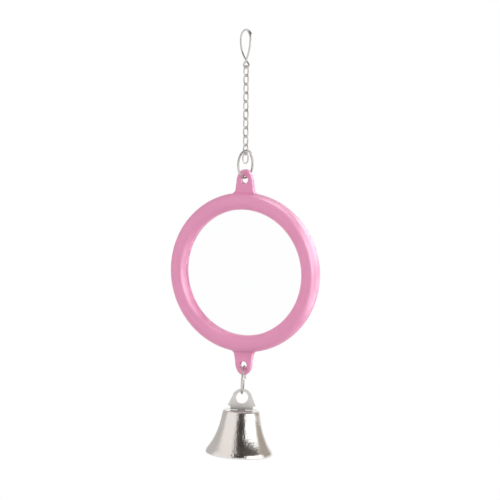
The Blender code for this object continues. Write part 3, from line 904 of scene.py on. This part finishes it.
# studio: pale floor, soft lamps, and far walls that only gloss reflects
studio = {
    "floor": -0.30,
    "floorReach": 30.0,
    "floorPaint": (0.93, 0.93, 0.93, 1),
    "skyLight": 0.55,
    "shadow": 0.8,  # how white the floor is below the object, 1 from shadowEdge outwards
    "shadowStart": 0.3,
    "shadowEdge": 0.5,
    "lamps": {  # light the surfaces, and gloss doesn't show them
        "fill": {"azimuth": -34, "elevation": 28, "far": 1.1, "size": (1.0, 1.0), "watts": 5.2},
        "right": {"azimuth": 84, "elevation": 14, "far": 1.0, "size": (0.8, 0.9), "watts": 4.4},
        "low": {"azimuth": 112, "elevation": 4, "far": 1.0, "size": (1.2, 0.5), "watts": 2.2},
    },
    "softboxes": {  # gloss lamps for the rim and its panes alone
        "boxFront": {"azimuth": 63, "elevation": 16, "far": 0.8, "size": (0.30, 1.0), "watts": 10.0},
        "boxRight": {"azimuth": 89, "elevation": 22, "far": 0.8, "size": (0.40, 1.1), "watts": 6.0},
        "boxRear": {"azimuth": 117, "elevation": 22, "far": 0.8, "size": (0.36, 1.1), "watts": 7.0},
        "boxBehind": {"azimuth": 150, "elevation": 22, "far": 0.8, "size": (0.6, 1.1), "watts": 13.0},
        "boxTop": {"azimuth": 120, "elevation": 80, "far": 0.8, "size": (0.5, 0.5), "watts": 5.0},
        "boxLow": {"azimuth": 100, "elevation": -30, "far": 0.3, "size": (0.5, 0.09), "watts": 0.9},
    },
    "surround": 0.85,  # how far off the walls stand
    "wallPoints": 13,  # along each side of a wall
    "walls": {
        "cameraSide": {"azimuth": (3, 52), "elevation": (-8, 66), "level": (0.07, 0.06, 0.055)},
        "leftFront": {"azimuth": (-75, 3), "elevation": (4, 72), "level": (1.0, 0.96, 0.94)},
        "rightLow": {"azimuth": (52, 116), "elevation": (-12, 27), "level": (1.7, 1.7, 1.7)},
        "rightHigh": {"azimuth": (52, 116), "elevation": (27, 66), "level": (0.11, 0.10, 0.09)},
        "rearRight": {"azimuth": (116, 172), "elevation": (-8, 66), "level": (0.47, 0.42, 0.37)},
        "rearLeft": {"azimuth": (-140, -75), "elevation": (-14, 66), "level": (0.60, 0.57, 0.56)},
        "overhead": {"azimuth": (0, 200), "elevation": (66, 90), "level": (0.14, 0.125, 0.115)},
    },
}
middle = Vector((0, 0, mirrorHeight))


def towards(azimuth, elevation):
    turn = math.radians(azimuth)
    lift = math.radians(elevation)
    return Vector((math.sin(turn) * math.cos(lift), -math.cos(turn) * math.cos(lift), math.sin(lift)))


def seenWhite(start):  # 1 for the rays that show the background
    camera = start.make("ShaderNodeLightPath")
    glossy = camera.out(3)  # Is Glossy Ray
    through = camera.out(6)  # Is Transmission Ray
    return camera.math("MAXIMUM", camera.math("MAXIMUM", camera, glossy), through)


def makeWorld():
    world = bpy.data.worlds.new("studio")
    scene.world = world
    start = emptyNodes(world)
    low = studio["skyLight"]
    strength = low + seenWhite(start) * (1 - low)
    sky = start.make("ShaderNodeBackground", values={"Color": (1, 1, 1, 1), "Strength": strength})
    start.make("ShaderNodeOutputWorld", values={"Surface": sky})


def makeFloor():
    finish = bpy.data.materials.new("paleFloor")
    start = emptyNodes(finish)
    paint = start.make("ShaderNodeBsdfDiffuse", values={"Color": studio["floorPaint"]})
    glow = start.make("ShaderNodeEmission", values={"Color": (1, 1, 1, 1), "Strength": 1.0})
    place = start.make("ShaderNodeTexCoord", output=3)  # Object
    far = start.make("ShaderNodeVectorMath", {"operation": "LENGTH"}, {0: place}, output=1)
    fade = {0: far, 1: studio["shadowStart"], 2: studio["shadowEdge"], 3: studio["shadow"], 4: 1.0}
    white = start.make("ShaderNodeMapRange", {"interpolation_type": "SMOOTHSTEP"}, fade)
    share = seenWhite(start) * white
    mixed = start.make("ShaderNodeMixShader", values={0: share, 1: paint, 2: glow})
    start.make("ShaderNodeOutputMaterial", values={"Surface": mixed})
    mesh = bpy.data.meshes.new("floor")
    size = studio["floorReach"]
    corners = [(-size, -size), (size, -size), (size, size), (-size, size)]
    mesh.from_pydata([(x, y, studio["floor"]) for x, y in corners], [], [(0, 1, 2, 3)])
    mesh.materials.append(finish)
    floor = bpy.data.objects.new("floor", mesh)
    scene.collection.objects.link(floor)


def makeLamp(name, want, receivers=None):
    data = bpy.data.lights.new(name, "AREA")
    data.shape = "RECTANGLE"
    data.size, data.size_y = want["size"]
    data.energy = want["watts"]
    lamp = bpy.data.objects.new(name, data)
    lamp.visible_camera = False
    lamp.visible_glossy = receivers is not None
    lamp.visible_diffuse = receivers is None
    lamp.light_linking.receiver_collection = receivers
    heading = towards(want["azimuth"], want["elevation"])
    lamp.location = middle + heading * want["far"]
    lamp.rotation_euler = heading.to_track_quat("Z", "Y").to_euler()
    scene.collection.objects.link(lamp)


def makeWall(name, want):
    count = studio["wallPoints"]
    columns = spread(*want["azimuth"], count)
    rows = spread(*want["elevation"], count)
    headings = [towards(azimuth, lift) for lift in rows for azimuth in columns]
    points = [middle + heading * studio["surround"] for heading in headings]
    corners = [row * count + column for row in range(count - 1) for column in range(count - 1)]
    faces = [(first, first + 1, first + count + 1, first + count) for first in corners]
    mesh = bpy.data.meshes.new(name)
    mesh.from_pydata(points, [], faces)
    finish = bpy.data.materials.new(name)
    start = emptyNodes(finish)
    glow = start.make("ShaderNodeEmission", values={"Color": (*want["level"], 1), "Strength": 1.0})
    start.make("ShaderNodeOutputMaterial", values={"Surface": glow})
    mesh.materials.append(finish)
    wall = bpy.data.objects.new(name, mesh)
    scene.collection.objects.link(wall)
    wall.visible_camera = False
    wall.visible_diffuse = False
    wall.visible_transmission = False
    wall.visible_shadow = False


def mirrorPieces():  # the rim and its panes, as a collection for light linking
    linked = bpy.data.collections.new("mirrorPieces")
    glossy = {"pinkPlastic", "mirrorSilver"}
    for piece in scene.objects:
        if piece.type == "MESH" and glossy & set(piece.data.materials.keys()):
            linked.objects.link(piece)
    return linked


makeWorld()
makeFloor()
for lampName, lampWant in studio["lamps"].items():
    makeLamp(lampName, lampWant)
mirrorOnly = mirrorPieces()
for lampName, lampWant in studio["softboxes"].items():
    makeLamp(lampName, lampWant, mirrorOnly)
for wallName, wallWant in studio["walls"].items():
    makeWall(wallName, wallWant)

view = {
    "azimuth": 24.0,
    "elevation": 6.0,
    "far": 1.1671,
    "lens": 187.2,
    "sensor": 36.0,
    "clipEnd": 100.0,
    "aimRight": 0.114,
    "aimUp": 0.496,
    "roll": 0.437,
}


def makeCamera():
    data = bpy.data.cameras.new("camera")
    data.sensor_width = view["sensor"]
    data.lens = view["lens"]
    data.clip_end = view["clipEnd"]
    camera = bpy.data.objects.new("camera", data)
    turn = Matrix.Rotation(math.radians(view["azimuth"] - view["aimRight"]), 4, "Z")
    tip = Matrix.Rotation(math.radians(90 - view["elevation"] + view["aimUp"]), 4, "X")
    roll = Matrix.Rotation(math.radians(view["roll"]), 4, "Z")
    spot = middle + towards(view["azimuth"], view["elevation"]) * view["far"]
    camera.matrix_world = Matrix.Translation(spot) @ turn @ tip @ roll
    scene.collection.objects.link(camera)
    scene.camera = camera


makeCamera()
print("studio and camera done")

bpy.context.view_layer.update()
